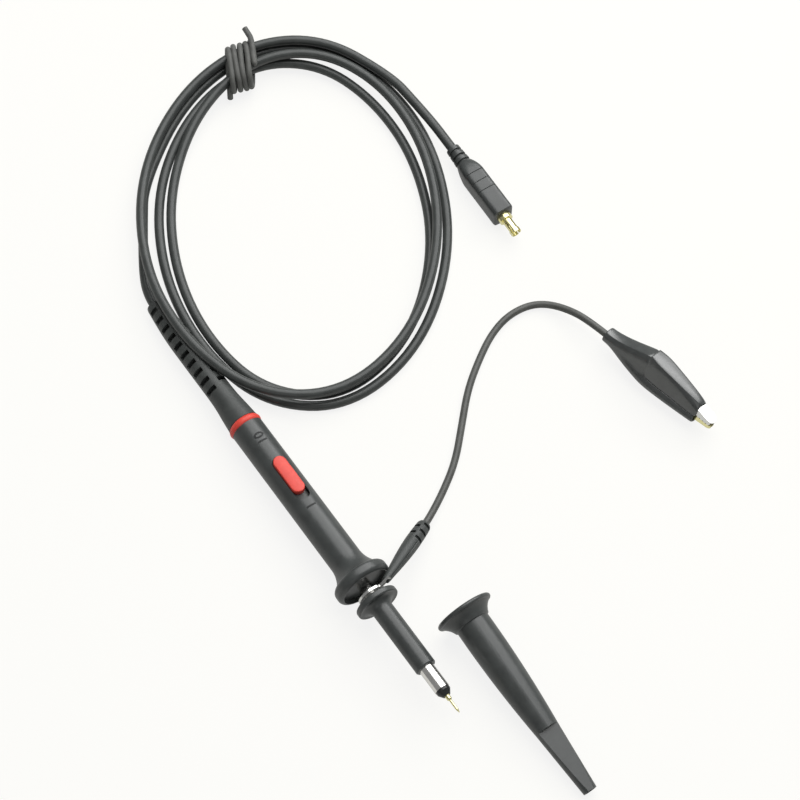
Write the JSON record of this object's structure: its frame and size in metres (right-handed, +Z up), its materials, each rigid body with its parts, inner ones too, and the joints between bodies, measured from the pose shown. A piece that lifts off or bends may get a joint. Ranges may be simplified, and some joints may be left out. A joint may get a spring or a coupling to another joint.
{
  "type": "oscilloscope probe",
  "caption": "Passive oscilloscope probe with a slide switch, ground lead and spring clip, wound and tied cable with a small coaxial plug, and a sprung hook tip lying beside it.",
  "frame": {"origin": "centre of the footprint of the head and hook tip, on the table", "axes": "+X from the cable towards the probe tip, +Z up, +Y towards the coil and ground clip"},
  "size_m": [0.2882, 0.1356, 0.0191],
  "materials": {
    "body_plastic": "moulded, fine matt",
    "soft_relief": "soft, satin",
    "red_plastic": "moulded, satin",
    "cable_jacket": "smooth, semi-gloss",
    "tie_jacket": "matt",
    "clip_rubber": "glossy",
    "nickel": "bright plated",
    "gold": "gold plated",
    "steel": "bright",
    "black_insulator": "smooth",
    "white_insulator": "smooth",
    "board": "solder mask",
    "component": "lacquered"
  },
  "bodies": {
    "probe": {"rear_relief": "soft_relief", "marker_ring": "red_plastic", "handle_shell": "body_plastic", "switch_case": "black_insulator", "switch_terminals": "gold", "circuit_board": "board", "trimmer_body": "white_insulator", "nose_sleeve": "body_plastic", "ground_barrel": "nickel", "tip_insulator": "black_insulator", "tip_needle": "gold", "input_resistor": "component", "input_capacitor": "component", "cable_inside": "cable_jacket", "crimp_ferrule": "nickel", "hook_core": "black_insulator", "hook_socket": "nickel", "hook_wire": "steel", "hook_spring": "steel", "cable_coil": "cable_jacket", "cable_lead": "cable_jacket", "cable_tie": "tie_jacket", "plug_boot": "body_plastic", "plug_shell": "gold", "plug_insulator": "white_insulator", "plug_pin": "gold", "plug_crimp": "nickel", "plug_cable": "cable_jacket"},
    "switch": {"switch_knob": "red_plastic"},
    "trimmer": {"trimmer_rotor": "gold"},
    "ground_lead": {"ground_ring": "steel", "ground_boot": "soft_relief", "ground_wire": "cable_jacket", "clip_sleeve": "clip_rubber", "clip_lower_jaw": "gold", "clip_pin": "steel", "clip_spring": "steel", "clip_crimp": "nickel"},
    "clip_jaw": {"clip_upper_jaw": "steel"},
    "hook_grip": {"hook_shell": "body_plastic"}
  },
  "joints": [
    {"name": "switch_slide", "type": "slide", "parent": "probe", "child": "switch", "axis": [0.9988, 0, 0.0486], "range_m": [0, 0.0024]},
    {"name": "trimmer_turn", "type": "hinge", "parent": "probe", "child": "trimmer", "pos_m": [-0.01305, -0.01073, 0.00471], "axis": [0.048, -0.1564, -0.9865], "continuous": true},
    {"name": "ground_lead_turn", "type": "hinge", "parent": "probe", "child": "ground_lead", "pos_m": [0.01964, -0.0102, 0.00967], "axis": [0.9988, 0, 0.0486], "continuous": true},
    {"name": "clip_jaw_pivot", "type": "hinge", "parent": "ground_lead", "child": "clip_jaw", "pos_m": [0.00707, 0.10874, 0.00567], "axis": [0.1733, -0.9351, 0.309], "range_deg": [0, 26], "stiffness_Nm_per_rad": 0.1, "springref_deg": -17.19, "deforming": ["clip_sleeve", "clip_spring"]},
    {"name": "hook_grip_slide", "type": "slide", "parent": "probe", "child": "hook_grip", "axis": [-0.9945, 0.0052, 0.1045], "range_m": [0, 0.007], "stiffness_N_per_m": 400, "springref_m": -0.004, "deforming": ["hook_spring"]}
  ]
}
